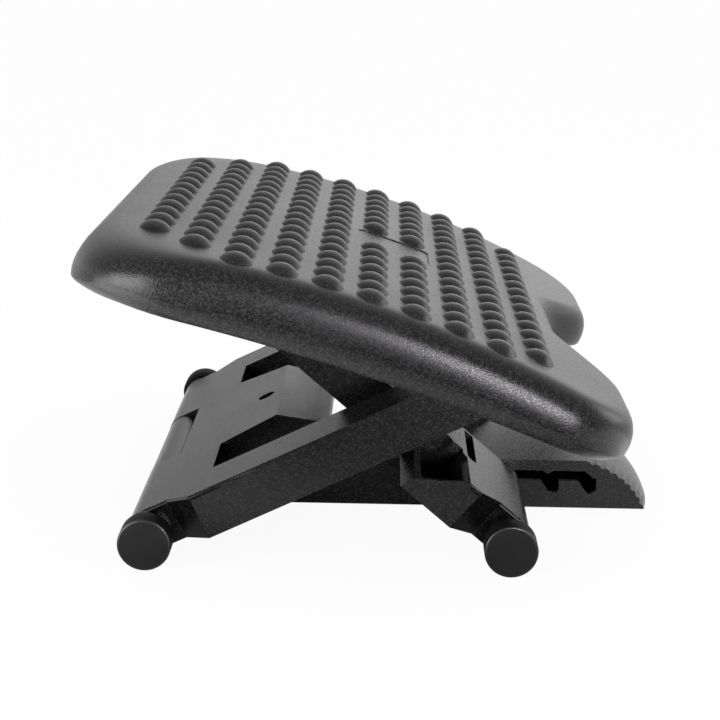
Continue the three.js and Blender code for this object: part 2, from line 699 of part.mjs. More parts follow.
const tray = () => {
  const ribs_from = -tray_droop_start
  const ribs_to = flat_front
  const carriers = both_sides(side => join([
    ...rods_along.map(x => lug(x, bearer_inner, bearer_outer, side)),
    stiffener(ribs_from, ribs_to, bearer_inner, bearer_inner + stiffener_width, side),
    stiffener(ribs_from, ribs_to, bearer_outer - stiffener_width, bearer_outer, side),
    lug(rods_along[1], outer_lug_start, outer_lug_start + lug_width, side),
    lug(rods_along[0], inner_lug_stop - lug_width, inner_lug_stop, side),
  ]))
  const seat_stop = outer_lug_start + lug_width + seat_gap
  const rod_seats = join(rods_along.map(x => bar(
    rod_bore_radius, -seat_stop, seat_stop, x, 0, rod_facets)))
  const screw_holes = both_sides(side => join(rods_along.flatMap(x => [-1, 1].map(end => solid(
    new THREE.CylinderGeometry(screw_radius + bore_gap, screw_radius + bore_gap,
      screw_hole_depth + cut_overrun, screw_facets)
      .rotateX(Math.PI / 2)
      .translate(x + end * screw_spacing / 2, side * bearer_half_spacing,
        (screw_hole_depth - cut_overrun) / 2))))))
  return tray_shell().add(domes()).add(carriers).subtract(rod_seats).subtract(screw_holes)
}

// Keeper: a strap under the rod, held to the bearer by two screws
const keeper = () => {
  const radius = hinge_rod_radius + seat_gap
  const strap = block(-keeper_length / 2, keeper_length / 2, -bearer_width / 2, bearer_width / 2,
    -keeper_thickness, -seat_gap)
  const holes = [-1, 1].map(end => solid(new THREE.CylinderGeometry(
    screw_radius + bore_gap, screw_radius + bore_gap, keeper_thickness + cut_overrun * 2, screw_facets)
    .rotateX(Math.PI / 2).translate(end * screw_spacing / 2, 0, -keeper_thickness / 2)))
  return strap.subtract(join(holes))
    .subtract(bar(radius, -bearer_width, bearer_width, 0, 0, rod_facets))
}

// Pan head screw, head down, shank up into the bearer
const keeper_screw = () => {
  const crown = screw_head_height * head_crown_share
  const tip = screw_grip + keeper_thickness
  const profile = [
    [0, -screw_head_height], [screw_head_radius - crown, -screw_head_height],
    [screw_head_radius, -screw_head_height + crown], [screw_head_radius, 0],
    [screw_radius, 0], [screw_radius, tip - screw_radius], [0, tip]]
  return solid(new THREE.LatheGeometry(
    profile.map(([r, z]) => new THREE.Vector2(r, z)), screw_facets).rotateX(Math.PI / 2))
}

const steel_rod = (radius, half_length) => {
  const chamfer = radius * rod_chamfer_share
  const profile = [
    [0, -half_length], [radius - chamfer, -half_length], [radius, chamfer - half_length],
    [radius, half_length - chamfer], [radius - chamfer, half_length], [0, half_length]]
  return solid(new THREE.LatheGeometry(
    profile.map(([r, y]) => new THREE.Vector2(r, y)), rod_facets))
}

const finish = ({ name, ...values }) => Object.assign(new THREE.MeshStandardMaterial(values), { name })
const piece = (name, body, material, place = [0, 0, 0]) => {
  const mesh = new THREE.Mesh(geometry_of(body), finish(material))
  mesh.name = name
  mesh.position.set(...place)
  return mesh
}
const group_at = (x, y, z) => {
  const group = new THREE.Group()
  group.position.set(x, y, z)
  return group
}

const model = new THREE.Group()
const assembly = group_at(-foot_spacing / 2, 0, 0)
model.add(assembly)

// Rail box and its rear hinge rod
assembly.add(piece('rail_box', rail_box(), frame_black))
assembly.add(piece('rear_hinge_rod', steel_rod(hinge_rod_radius, rear_rod_half), rod_steel,
  [0, 0, foot_cap_radius]))

// Leg frames lie flat in their own groups and are raised to their angles
const add_caps = (group, name) => [['near', -1], ['far', 1]].forEach(([word, side]) => {
  const cap = piece(`${name}_foot_cap_${word}`, foot_cap(), rubber_black,
    [0, side * foot_half_span, 0])
  if (side > 0) cap.rotation.z = Math.PI
  group.add(cap)
})
const rear_legs = group_at(0, 0, foot_cap_radius)
rear_legs.rotation.y = -rear_leg_angle
rear_legs.add(piece('rear_frame', rear_frame(), frame_black))
add_caps(rear_legs, 'rear')
assembly.add(rear_legs)

const front_stand = group_at(foot_spacing, 0, foot_cap_radius)
front_stand.rotation.z = Math.PI
const front_legs = group_at(0, 0, 0)
front_legs.rotation.y = -front_leg_angle
front_legs.add(piece('front_frame', front_frame(), frame_black))
front_stand.add(front_legs)
const front_caps = group_at(foot_spacing, 0, foot_cap_radius)
add_caps(front_caps, 'front')
assembly.add(front_stand, front_caps)
assembly.add(piece('front_foot_pin', steel_rod(foot_pin_radius, foot_pin_half_length), rod_steel,
  [foot_spacing, 0, foot_cap_radius - foot_pin_drop]))

// The tray hangs on the two hinge rods
const tray_group = group_at((front_rod_place.x + rear_rod_place.x) / 2, 0,
  (front_rod_place.y + rear_rod_place.y) / 2)
tray_group.rotation.y = tray_slope
tray_group.add(piece('tray', tray(), grained_black))
tray_group.add(piece('front_hinge_rod', steel_rod(hinge_rod_radius,
  outer_lug_start + lug_width + rod_overhang), rod_steel, [rods_along[1], 0, 0]))
tray_group.add(piece('rear_top_hinge_rod', steel_rod(hinge_rod_radius,
  bearer_outer + rod_overhang), rod_steel, [rods_along[0], 0, 0]))
for (const [end, x] of [['rear', rods_along[0]], ['front', rods_along[1]]]) {
  for (const [word, side] of [['near', -1], ['far', 1]]) {
    const y = side * bearer_half_spacing
    tray_group.add(piece(`${end}_keeper_${word}`, keeper(), frame_black, [x, y, 0]))
    for (const [letter, way] of [['a', -1], ['b', 1]]) {
      tray_group.add(piece(`${end}_keeper_${word}_screw_${letter}`, keeper_screw(), screw_steel,
        [x + way * screw_spacing / 2, y, -keeper_thickness - bore_gap]))
    }
  }
}
assembly.add(tray_group)

export default model
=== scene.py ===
# %% [markdown]
# # A tilting footrest for use under a desk
# The real object is moulded in black plastic: a broad tray covered in massage
# domes rocks on two leg frames that cross like scissors, and a rail box on the
# floor holds the frames apart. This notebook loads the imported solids, keeps
# their sizes, and gives every surface the shape and finish of the real one.

import math

import bmesh
import bpy
from mathutils import Matrix, Vector


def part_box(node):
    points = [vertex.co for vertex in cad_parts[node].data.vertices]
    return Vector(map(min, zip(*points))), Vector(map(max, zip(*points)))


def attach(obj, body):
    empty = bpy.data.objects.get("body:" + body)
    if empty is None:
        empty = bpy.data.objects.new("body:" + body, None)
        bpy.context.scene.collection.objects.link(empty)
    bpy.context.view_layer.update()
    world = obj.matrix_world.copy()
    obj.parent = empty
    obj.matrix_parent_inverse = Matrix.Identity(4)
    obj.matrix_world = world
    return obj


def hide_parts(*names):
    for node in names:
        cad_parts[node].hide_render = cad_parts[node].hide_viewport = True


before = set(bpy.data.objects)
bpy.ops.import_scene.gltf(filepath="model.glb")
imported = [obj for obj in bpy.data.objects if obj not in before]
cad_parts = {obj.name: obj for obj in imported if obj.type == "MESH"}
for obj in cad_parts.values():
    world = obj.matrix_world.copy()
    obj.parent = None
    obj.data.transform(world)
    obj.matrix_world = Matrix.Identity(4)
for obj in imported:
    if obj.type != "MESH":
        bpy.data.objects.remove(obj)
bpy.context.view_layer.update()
scene = bpy.context.scene

# %% [markdown]
# ## The camera
# The footrest is seen from its near side, a little from above. A long lens from
# more than a metre away keeps the far foot caps almost as large as the near
# ones, so the camera gets an 85 mm lens and three small angles: a turn, a tilt
# down and a slight roll.

# %% Camera
lens_length = 85
camera_place = Vector((0.03458, -1.20101, 0.40677))
camera_turn = -0.0152766
camera_tilt = 0.2556710
camera_roll = 0.0139348

ahead = Vector((math.sin(camera_turn) * math.cos(camera_tilt),
                math.cos(camera_turn) * math.cos(camera_tilt),
                -math.sin(camera_tilt)))
level = Vector((math.cos(camera_turn), -math.sin(camera_turn), 0))
upward = level.cross(ahead)
right = level * math.cos(camera_roll) + upward * math.sin(camera_roll)
top = upward * math.cos(camera_roll) - level * math.sin(camera_roll)
camera_data = bpy.data.cameras.new("camera")
camera_data.lens = lens_length
camera_data.sensor_width = 36
camera = bpy.data.objects.new("camera", camera_data)
camera.matrix_world = (Matrix.Translation(camera_place)
                       @ Matrix((right, top, -ahead)).transposed().to_4x4())
scene.collection.objects.link(camera)
scene.camera = camera
print("camera at", [round(value, 3) for value in camera_place])

# %% [markdown]
# ## A small language for shaders
# A finish is a tree of nodes. Wiring them one by one hides the idea, so two
# small classes help. `Finish` makes any node from its type, its settings and
# its inputs. `Wire` wraps an output, so that sums can be written in Python:
# `1 - mask` or `grain * 0.2 + 0.5` adds the Math nodes by itself.


# %% Shader helpers
class Wire:
    """A node's output, ready for Python's arithmetic."""

    def __init__(self, finish, socket):
        self.finish = finish
        self.socket = socket

    def out(self, name):
        return Wire(self.finish, self.socket.node.outputs[name])

    def maths(self, operation, other):
        return self.finish.maths_of(operation, self, other)

    def __add__(self, other):
        return self.maths("ADD", other)

    __radd__ = __add__

    def __sub__(self, other):
        return self.maths("SUBTRACT", other)

    def __rsub__(self, other):
        return self.finish.maths_of("SUBTRACT", other, self)

    def __mul__(self, other):
        return self.maths("MULTIPLY", other)

    __rmul__ = __mul__

    def between(self, low, high):
        """1 where the value lies between two limits, and 0 elsewhere."""
        return self.maths("GREATER_THAN", low) * self.maths("LESS_THAN", high)


class Shader:
    """A tree of shader nodes that is built with node()."""

    def __init__(self, owner):
        owner.use_nodes = True
        self.tree = owner.node_tree
        self.tree.nodes.clear()

    def node(self, kind, settings=None, inputs=None, output=0):
        made = self.tree.nodes.new("ShaderNode" + kind)
        for name, value in (settings or {}).items():
            setattr(made, name, value)
        for name, value in (inputs or {}).items():
            self.feed(made.inputs[name], value)
        return made if output is None else Wire(self, made.outputs[output])

    def feed(self, socket, value):
        if isinstance(value, Wire):
            self.tree.links.new(value.socket, socket)
        else:
            socket.default_value = value

    def maths_of(self, operation, *values):
        return self.node("Math", {"operation": operation}, dict(enumerate(values)))


class Finish(Shader):
    """A material with one main shader, and the piece's own coordinates."""

    def __init__(self, name, **values):
        self.material = bpy.data.materials.new(name)
        super().__init__(self.material)
        self.place = self.node("TexCoord", output="Object")
        self.surface = self.node("BsdfPrincipled", inputs={
            name.replace("_", " "): value for name, value in values.items()})
        self.end = self.node("OutputMaterial", inputs={"Surface": self.surface}, output=None)

    def set(self, **values):
        for name, value in values.items():
            self.feed(self.surface.socket.node.inputs[name.replace("_", " ")], value)


def grey(shade, warmth=0.0):
    """A near neutral colour, a little warmer or cooler."""
    return (shade * (1 + warmth), shade, shade * (1 + warmth * 0.4), 1)


# %% [markdown]
# ## The black plastics
# Moulded black plastic is never one flat black. Its tool was spark eroded, so
# the skin has a fine pebble grain that catches the light as tiny specks, and
# the colour drifts a little where the melt flowed. Both can be made from
# Voronoi cells for the pebbles and noise for the drift, read from the piece's
# own coordinates in metres, so that the grain has its real size of about a
# millimetre. Bump turns the grain into light and shade. The lightest cells are
# also painted lighter in the colour, as painted glints for those specks.


# %% Grained plastics
def grained(name, dark, light, grain_size, depth, gloss, painted_glint, shine, warmth=0.0):
    """Grained black plastic: a shade and a height per cell, the lightest as painted glints."""
    finish = Finish(name, IOR=1.46, Specular_IOR_Level=shine)
    cells = finish.node("TexVoronoi", None, {"Vector": finish.place, "Scale": 1 / grain_size},
                        output=None)
    height = Wire(finish, cells.outputs["Distance"])
    lot = finish.node("SeparateColor", None, {0: Wire(finish, cells.outputs["Color"])})
    clouds = finish.node("TexNoise", None, {
        "Vector": finish.place, "Scale": 0.3 / grain_size, "Detail": 3, "Roughness": 0.6})
    drift = finish.node("TexNoise", None, {
        "Vector": finish.place, "Scale": 9, "Detail": 2, "Roughness": 0.5})
    # painted glints: the lightest cells are painted lighter, on top of the real drift of tone
    painted_glint_cells = finish.node("MapRange", None, {
        "Value": lot, "From Min": 0.55, "From Max": 1, "To Min": 0, "To Max": 1})
    shade = painted_glint_cells * painted_glint + clouds * 0.2 + drift * 0.2
    colour = finish.node("Mix", {"data_type": "RGBA"}, {
        0: shade, 6: grey(dark, warmth), 7: grey(light, warmth)}, output=2)
    finish.set(Base_Color=colour,
               Roughness=gloss + (lot - 0.5) * 0.08 + (drift - 0.5) * 0.12,
               Normal=finish.node("Bump", None, {
                   "Strength": 0.7, "Distance": depth, "Height": clouds * 0.5 - height}))
    return finish.material


tray_plastic = grained("grained_black_plastic", dark=0.0003, light=0.02, grain_size=0.0008,
                       depth=0.0001, gloss=0.28, painted_glint=1, shine=0.31)
frame_plastic = grained("frame_black_plastic", dark=0.0003, light=0.009, grain_size=0.0009,
                        depth=0.00013, gloss=0.23, painted_glint=0.8, shine=0.26, warmth=0.06)
print("plastics:", tray_plastic.name, frame_plastic.name)

# %% [markdown]
# ## Rubber and steel
# The foot caps are soft rubber: darker than the plastic, very even, with only a
# faint bloom. Handling has polished the rim of each cap, so a thin clear coat
# is laid over the parts that lie far from the foot's axis and near its end. The
# hinge rods are drawn steel, with fine lines along their length, and the screws
# are zinc plated, with a slightly cloudy coat.

# %% Rubber and metals
foot_reach = 0.117
foot_height = 0.01725
polished_radius = 0.0158
polished_end = 0.1858
rubber = Finish("rubber_black", IOR=1.45, Specular_IOR_Level=0.08)
bloom = rubber.node("TexNoise", None, {
    "Vector": rubber.place, "Scale": 60, "Detail": 4, "Roughness": 0.6})
pores = rubber.node("TexNoise", None, {
    "Vector": rubber.place, "Scale": 1500, "Detail": 2, "Roughness": 0.5})
spot = rubber.node("SeparateXYZ", None, {0: rubber.place})
from_foot = rubber.maths_of("ABSOLUTE", spot) - foot_reach
from_axis = spot.out("Z") - foot_height
reach = rubber.maths_of("SQRT", from_foot * from_foot + from_axis * from_axis)
side_reach = rubber.maths_of("ABSOLUTE", spot.out("Y"))
on_rim = (reach.maths("GREATER_THAN", polished_radius)
          * side_reach.maths("GREATER_THAN", polished_end))
rubber.set(
    Base_Color=rubber.node("Mix", {"data_type": "RGBA"}, {
        0: bloom, 6: grey(0.004), 7: grey(0.011)}, output=2),
    Roughness=0.5 + bloom * 0.15,
    Coat_Roughness=0.25,
    Coat_Weight=on_rim * 0.7,
    Normal=rubber.node("Bump", None, {"Strength": 0.25, "Distance": 0.0001, "Height": pores}))


def metal(name, shade, gloss, stretch):
    """Bare metal with drawn lines: noise stretched along one axis."""
    finish = Finish(name, Metallic=1.0)
    lined = finish.node("Mapping", None, {"Vector": finish.place, "Scale": stretch})
    lines = finish.node("TexNoise", None, {
        "Vector": lined, "Scale": 900, "Detail": 3, "Roughness": 0.6})
    cloud = finish.node("TexNoise", None, {
        "Vector": finish.place, "Scale": 120, "Detail": 2, "Roughness": 0.5})
    finish.set(
        Base_Color=finish.node("Mix", {"data_type": "RGBA"}, {
            0: cloud, 6: grey(shade * 0.8), 7: grey(shade * 1.1)}, output=2),
        Roughness=gloss + lines * 0.15,
        Normal=finish.node("Bump", None, {
            "Strength": 0.2, "Distance": 0.00005, "Height": lines}))
    return finish.material


rod_steel = metal("rod_steel", 0.5, 0.25, (1, 0.03, 1))
screw_steel = metal("screw_steel", 0.4, 0.3, (1, 1, 1))
print("also:", rubber.material.name, rod_steel.name, screw_steel.name)

# %% [markdown]
# ## Sharing the work of every piece
# Each piece is a mesh in the same frame as the solids, so its object stays at
# the origin. These helpers put a finished bmesh into the scene, add a modifier
# and apply it at once, and hand the piece to the body it rides on.


# %% Piece helpers
def new_piece(name, bm):
    """A finished bmesh as an object at the origin."""
    mesh = bpy.data.meshes.new(name)
    bm.to_mesh(mesh)
    bm.free()
    piece = bpy.data.objects.new(name, mesh)
    scene.collection.objects.link(piece)
    return piece


def apply(piece, kind, **settings):
    """Adds a modifier to a piece and keeps its result as the mesh."""
    modifier = piece.modifiers.new(kind, kind)
    for name, value in settings.items():
        setattr(modifier, name, value)
    depsgraph = bpy.context.evaluated_depsgraph_get()
    made = bpy.data.meshes.new_from_object(piece.evaluated_get(depsgraph))
    piece.modifiers.clear()
    piece.data = made
    return piece


def combine(piece, other, operation):
    """Joins another piece to this one, or cuts it away, and removes the other."""
    apply(piece, "BOOLEAN", object=other, operation=operation, solver="MANIFOLD")
    bpy.data.objects.remove(other)
    return piece


def finish_piece(piece, body, material, slot, *nodes, crease=32):
    """Smooths a piece, paints it and lets it ride in place of its solids."""
    piece.data.materials.clear()
    piece.data.materials.append(material)
    piece.data.shade_smooth()
    piece.data.set_sharp_from_angle(angle=math.radians(crease))
    if material is frame_plastic:
        apply(piece, "WEIGHTED_NORMAL", keep_sharp=True)
    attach(piece, body)
    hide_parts(*nodes)
    triangles = sum(len(face.vertices) - 2 for face in piece.data.polygons)
    print(f"{piece.name}: {triangles} triangles, rides on {body}")
    return piece


def solid_copy(node, name):
    """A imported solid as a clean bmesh: corners merged, flat faces whole."""
    bm = bmesh.new()
    bm.from_mesh(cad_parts[node].data)
    bmesh.ops.remove_doubles(bm, verts=bm.verts, dist=0.000002)
    bmesh.ops.dissolve_limit(bm, angle_limit=math.radians(0.3), verts=bm.verts, edges=bm.edges)
    return new_piece(name, bm)


# %% [markdown]
# ## Two ways to make a simple shape
# Round pieces such as caps, rods and screws are turned: half of their outline
# is drawn once and spun a full turn. Ribs, lugs and grooves are the same all
# along, so an outline is drawn from the side and swept across the width.
# Spin and extrude may list their new faces in another order each time. Sorting
# them along a slanted line gives the same mesh in each run.


# %% Turned and swept shapes
sort_line = Vector((1, 0.6137, 0.2719))


def outwards(bm):
    """Sorts the parts of a mesh and turns its faces outwards."""
    bm.verts.sort(key=lambda vert: vert.co.dot(sort_line))
    bm.edges.sort(key=lambda edge: (edge.verts[0].co + edge.verts[1].co).dot(sort_line))
    bm.faces.sort(key=lambda face: face.calc_center_median().dot(sort_line))
    bmesh.ops.recalc_face_normals(bm, faces=bm.faces)


def turned(name, profile, sides, place):
    """Pairs of radius and length, spun about the upright and then set in place."""
    bm = bmesh.new()
    points = [bm.verts.new((radius, 0, length)) for radius, length in profile]
    edges = [bm.edges.new(pair) for pair in zip(points, points[1:])]
    bmesh.ops.spin(bm, geom=points + edges, cent=(0, 0, 0), axis=(0, 0, 1),
                   angle=2 * math.pi, steps=sides, use_merge=True)
    bmesh.ops.remove_doubles(bm, verts=bm.verts, dist=0.00001)
    outwards(bm)
    bmesh.ops.transform(bm, matrix=place, verts=bm.verts)
    return new_piece(name, bm)


def swept(name, outline, start, stop, place):
    """An outline in length and height, swept from one side to the other."""
    bm = bmesh.new()
    face = bm.faces.new([bm.verts.new((x, start, z)) for x, z in outline])
    grown = bmesh.ops.extrude_face_region(bm, geom=[face])["geom"]
    moved = [item for item in grown if isinstance(item, bmesh.types.BMVert)]
    bmesh.ops.translate(bm, vec=(0, stop - start, 0), verts=moved)
    outwards(bm)
    bmesh.ops.transform(bm, matrix=place, verts=bm.verts)
    return new_piece(name, bm)


def rounded(corner, radius, start, steps=5):
    """Points of a quarter circle that rounds a corner, from one angle to the next."""
    return [(corner[0] + radius * math.cos(start + math.pi / 2 * i / steps),
             corner[1] + radius * math.sin(start + math.pi / 2 * i / steps))
            for i in range(steps + 1)]


# %% [markdown]
# ## The tray's skin
# The tray is one broad curved sheet with a deep rolled rim, a dip in its front
# edge between two lobes, and round corners. It could be cut from a block, but
# a flat grid is simpler: it is laid on the plan of the tray, its edge is
# extruded ring by ring down the roll of the rim, and then every point is bent
# to the tray's arc. A solidify modifier gives it the wall of a moulding.

# %% Tray sizes
tray_half_width = 0.2163
rear_reach = 0.1775
front_reach = 0.2075
notch_depth = 0.044
notch_half_width = 0.04
lobe_half_width = 0.12
rear_corner = 0.063
rear_corner_spread = 1.9
front_corner = 0.053
arc_radius = 0.8
apex_setback = 0.0122
rod_drop = 0.0308
tray_wall = 0.003
roll_width = 0.021
roll_height = 0.025
side_squareness = 1
rim_depth = 0.0434
rim_rise = 0.0102
rim_rise_length = 0.18
rim_lean = 0.0056
droop = 0.0042
droop_start = 0.13
droop_length = 0.04


def middle_of(node):
    low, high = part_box(node)
    return (low + high) / 2


rear_rod = middle_of("rear_top_hinge_rod")
front_rod = middle_of("front_hinge_rod")
rod_line = front_rod - rear_rod
rod_spacing = rod_line.length
tray_slope = math.atan2(-rod_line.z, rod_line.x)
tray_place = (Matrix.Translation((rear_rod + front_rod) / 2)
              @ Matrix.Rotation(tray_slope, 4, "Y"))
print("tray slopes", round(math.degrees(tray_slope), 2), "degrees")


# %% Plan and bend of the tray
def bent(along, side, height):
    """A point of the flat drawing, bent to the arc and set in place."""
    turn = along / arc_radius
    past = max(-along - droop_start, 0) / droop_length
    radius = arc_radius + height - droop * past ** 2
    return tray_place @ Vector((radius * math.sin(turn) - apex_setback, side,
                                rod_drop - arc_radius + radius * math.cos(turn)))


corner_share = 0.25


def length_line(share, inset):
    """Place along the tray and narrowing of one line across it."""
    rear_round = rear_corner + inset * rear_corner_spread
    front_round = front_corner - inset
    rear = inset - rear_reach
    front = front_reach - inset
    if share <= corner_share:
        angle = share / corner_share * math.pi / 2
        return rear + rear_round * (1 - math.cos(angle)), rear_round * (1 - math.sin(angle))
    if share >= 1 - corner_share:
        angle = (1 - share) / corner_share * math.pi / 2
        return front - front_round * (1 - math.cos(angle)), front_round * (1 - math.sin(angle))
    part = (share - corner_share) / (1 - corner_share * 2)
    return (rear + rear_round) * (1 - part) + (front - front_round) * part, 0


def front_edge(across, inset):
    """Where the front edge lies, with its dip between two lobes."""
    ramp = (abs(across) - notch_half_width) / (lobe_half_width - notch_half_width)
    ramp = min(max(ramp, 0), 1)
    return front_reach - inset - notch_depth * (1 - ramp * ramp * (3 - 2 * ramp))


def on_plan(line_share, width_share, inset):
    """Place along and across the flat tray for one grid point."""
    rear = inset - rear_reach
    along, narrowing = length_line(line_share, inset)
    front = front_edge(width_share * (tray_half_width - front_corner), inset)
    stretch = (front - rear) / (front_reach - inset - rear)
    return (rear + (along - rear) * stretch,
            width_share * (tray_half_width - inset - narrowing))


# %% Tray skin
length_steps = 48
width_steps = 60
roll_steps = 10
rim_steps = 5
rim_round = 0.0006


def roll_at(line_share, width_share, angle):
    """Inset and depth on the roll of the rim, which is squarer along the sides."""
    from_end = min(min(line_share, 1 - line_share) / corner_share, 1)
    along_side = abs(width_share) > 0.999
    squareness = from_end * from_end * (3 - 2 * from_end) if along_side else 0
    power = 2 / (2 + side_squareness * squareness)
    return (roll_width * (1 - math.sin(angle) ** power),
            roll_height * (1 - max(math.cos(angle), 0) ** power))


def edge_at(share):
    """Inset and depth further down the rim, as far as its lower edge."""
    inset = rim_lean * share ** 1.5
    return inset, lambda along: (roll_height * (1 - share) + share * (
        rim_depth - rim_rise * (along / rim_rise_length) ** 2))


def tray_skin():
    bm = bmesh.new()
    line_layer = bm.verts.layers.float.new("line_share")
    side_layer = bm.verts.layers.float.new("width_share")
    bmesh.ops.create_grid(bm, x_segments=length_steps, y_segments=width_steps, size=1)
    for vert in bm.verts:
        vert[line_layer] = (vert.co.x + 1) / 2
        vert[side_layer] = vert.co.y

    def lay(verts, ring):
        for vert in verts:
            inset, depth = ring(vert[line_layer], vert[side_layer])
            along, side = on_plan(vert[line_layer], vert[side_layer], inset)
            vert.co = bent(along, side, -depth if isinstance(depth, float) else -depth(along))

    lay(bm.verts, lambda line, width: (roll_width, 0.0))
    rim = [edge for edge in bm.edges if edge.is_boundary]
    rings = [lambda line, width, angle=step / roll_steps * math.pi / 2: roll_at(line, width, angle)
             for step in range(1, roll_steps + 1)]
    rings += [lambda line, width, share=step / rim_steps: edge_at(share)
              for step in range(1, rim_steps + 1)]
    for ring in rings:
        grown = bmesh.ops.extrude_edge_only(bm, edges=rim)["geom"]
        rim = [item for item in grown if isinstance(item, bmesh.types.BMEdge) and item.is_boundary]
        lay({vert for edge in rim for vert in edge.verts}, ring)
    outwards(bm)
    if sum(face.normal.z * face.calc_area() for face in bm.faces) < 0:
        bmesh.ops.reverse_faces(bm, faces=bm.faces)
    return new_piece("tray_moulding", bm)


tray = tray_skin()
apply(tray, "SOLIDIFY", thickness=tray_wall, offset=-1, use_even_offset=True)
apply(tray, "BEVEL", width=rim_round, segments=2, limit_method="ANGLE",
      angle_limit=math.radians(60))
print("tray moulding has", len(tray.data.polygons), "faces")

# %% [markdown]
# ## Massage domes
# Rows of low domes cover the top. Each is a cap of a ball that meets the skin
# at a clear edge. One profile is spun into a dome, and copies of it are set on
# the arc, leaving out the round corners and a bare plate at the middle.

# %% Domes
column_pitch = 0.0284
row_pitch = 0.0257
dome_radius = 0.0104
dome_height = 0.0055
dome_root = 0.001
dome_shift = 0.0067
flat_front = front_reach - notch_depth - roll_width
flat_rear = roll_width - rear_reach
dome_columns = int((flat_front - flat_rear) / column_pitch)
dome_rows = int((tray_half_width - roll_width) / row_pitch + 0.5) * 2
dome_middle = (flat_front + flat_rear) / 2 + dome_shift
dome_sides = 20
dome_rings = 5


def dome_mesh():
    """One dome at the origin: an arc of a ball spun about the upright."""
    bm = bmesh.new()
    ball = (dome_radius ** 2 + dome_height ** 2) / (2 * dome_height)
    foot = math.asin(dome_radius / ball)
    profile = [bm.verts.new((ball * math.sin(foot * i / dome_rings), 0,
                             ball * math.cos(foot * i / dome_rings) - ball + dome_height))
               for i in range(dome_rings + 1)]
    profile.append(bm.verts.new((dome_radius + dome_root, 0, -dome_root)))
    profile.append(bm.verts.new((0, 0, -dome_root)))
    edges = [bm.edges.new(pair) for pair in zip(profile, profile[1:])]
    bmesh.ops.spin(bm, geom=profile + edges, cent=(0, 0, 0), axis=(0, 0, 1),
                   angle=2 * math.pi, steps=dome_sides, use_merge=True)
    bmesh.ops.remove_doubles(bm, verts=bm.verts, dist=0.00001)
    outwards(bm)
    return bm


def left_out(column, row):
    """True at the round corners and where the bare plate lies."""
    skipped = 2 if column == 0 else 1 if column in (1, dome_columns - 1) else 0
    at_corner = row < skipped or row >= dome_rows - skipped
    on_plate = column - dome_columns // 2 in (0, 1) and row + 1 - dome_rows // 2 in (0, 1)
    return at_corner or on_plate


one_dome = bpy.data.meshes.new("one_dome")
dome_shape = dome_mesh()
dome_shape.to_mesh(one_dome)
dome_shape.free()
dome_field = bmesh.new()
dome_count = 0
for column in range(dome_columns):
    along = dome_middle + (column - (dome_columns - 1) / 2) * column_pitch
    for row in range(dome_rows):
        if left_out(column, row):
            continue
        side = (row - (dome_rows - 1) / 2) * row_pitch
        lean = tray_slope + along / arc_radius
        placing = Matrix.Translation(bent(along, side, 0)) @ Matrix.Rotation(lean, 4, "Y")
        before = len(dome_field.verts)
        dome_field.from_mesh(one_dome)
        dome_field.verts.ensure_lookup_table()
        bmesh.ops.transform(dome_field, matrix=placing, verts=dome_field.verts[before:])
        dome_count += 1
combine(tray, new_piece("dome_field", dome_field), "UNION")
print(dome_count, "domes in", dome_columns, "columns")

# %% [markdown]
# ## The bare plate
# At the middle of the tray four domes make way for a shallow recess with round
# corners. It is a grid again: narrowed at both ends, bent to the arc, given
# some thickness and cut away.

# %% Plate recess
plate_depth = 0.0007
plate_length = 0.0535
plate_half_width = 0.0235
plate_corner = 0.005
plate_middle = dome_middle + column_pitch
plate_steps = 24


def plate_cutter():
    bm = bmesh.new()
    bmesh.ops.create_grid(bm, x_segments=plate_steps, y_segments=4, size=1)
    for vert in bm.verts:
        from_end = (1 - abs(vert.co.x)) * plate_steps / 2
        if from_end < 4:
            turn = from_end / 4 * math.pi / 2
            reach = plate_length / 2 - plate_corner * (1 - math.cos(turn))
            half = plate_half_width - plate_corner * (1 - math.sin(turn))
        else:
            reach = (plate_length / 2 - plate_corner) * abs(vert.co.x) / (1 - 8 / plate_steps)
            half = plate_half_width
        along = plate_middle + math.copysign(reach, vert.co.x)
        vert.co = bent(along, vert.co.y * half, -plate_depth)
    grown = bmesh.ops.extrude_face_region(bm, geom=list(bm.faces))["geom"]
    lifted = [item for item in grown if isinstance(item, bmesh.types.BMVert)]
    bmesh.ops.translate(bm, vec=(0, 0, plate_depth * 3), verts=lifted)
    outwards(bm)
    return new_piece("plate_cutter", bm)


combine(tray, plate_cutter(), "DIFFERENCE")
print("plate recess:", round(plate_length * 1000, 1), "by", round(plate_half_width * 2000, 1), "mm")

# %% [markdown]
# ## Under the tray
# Both hinge rods turn in half-round seats under the tray. On each side a bearer
# of two long ribs joins the front seat to the rear one, with a block at each
# rod for the keeper's screws, and two more lugs steady the ends of the rods.

# %% Bearers and seats
lug_foot = 0.026
lug_width = 0.008
rib_depth = 0.012
rib_width = 0.0025
seat_radius = 0.0033
screw_spacing = 0.022
screw_hole = 0.00205
screw_hole_depth = 0.01
keeper_low, keeper_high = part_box("front_keeper_far")
bearer_inner, bearer_outer = keeper_low.y, keeper_high.y
bearer_middle = (bearer_inner + bearer_outer) / 2
keeper_length = 0.034
rod_end_room = 0.004
seat_overrun = 0.0003
hole_overrun = 0.002
outer_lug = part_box("front_hinge_rod")[1].y - rod_end_room - lug_width
inner_lug = 0.041
rib_steps = 24
rods_along = (-rod_spacing / 2, rod_spacing / 2)


def skin_at(x):
    """Middle of the skin's thickness above a place between the rods."""
    return (rod_drop - arc_radius - tray_wall / 2
            + math.sqrt(arc_radius ** 2 - (x + apex_setback) ** 2))


def lug(x, side, inner, outer):
    top = skin_at(x)
    outline = [(x - lug_foot / 2, top), (x - keeper_length / 2, 0),
               (x + keeper_length / 2, 0), (x + lug_foot / 2, top)]
    combine(tray, swept("lug", outline, side * inner, side * outer, tray_place), "UNION")


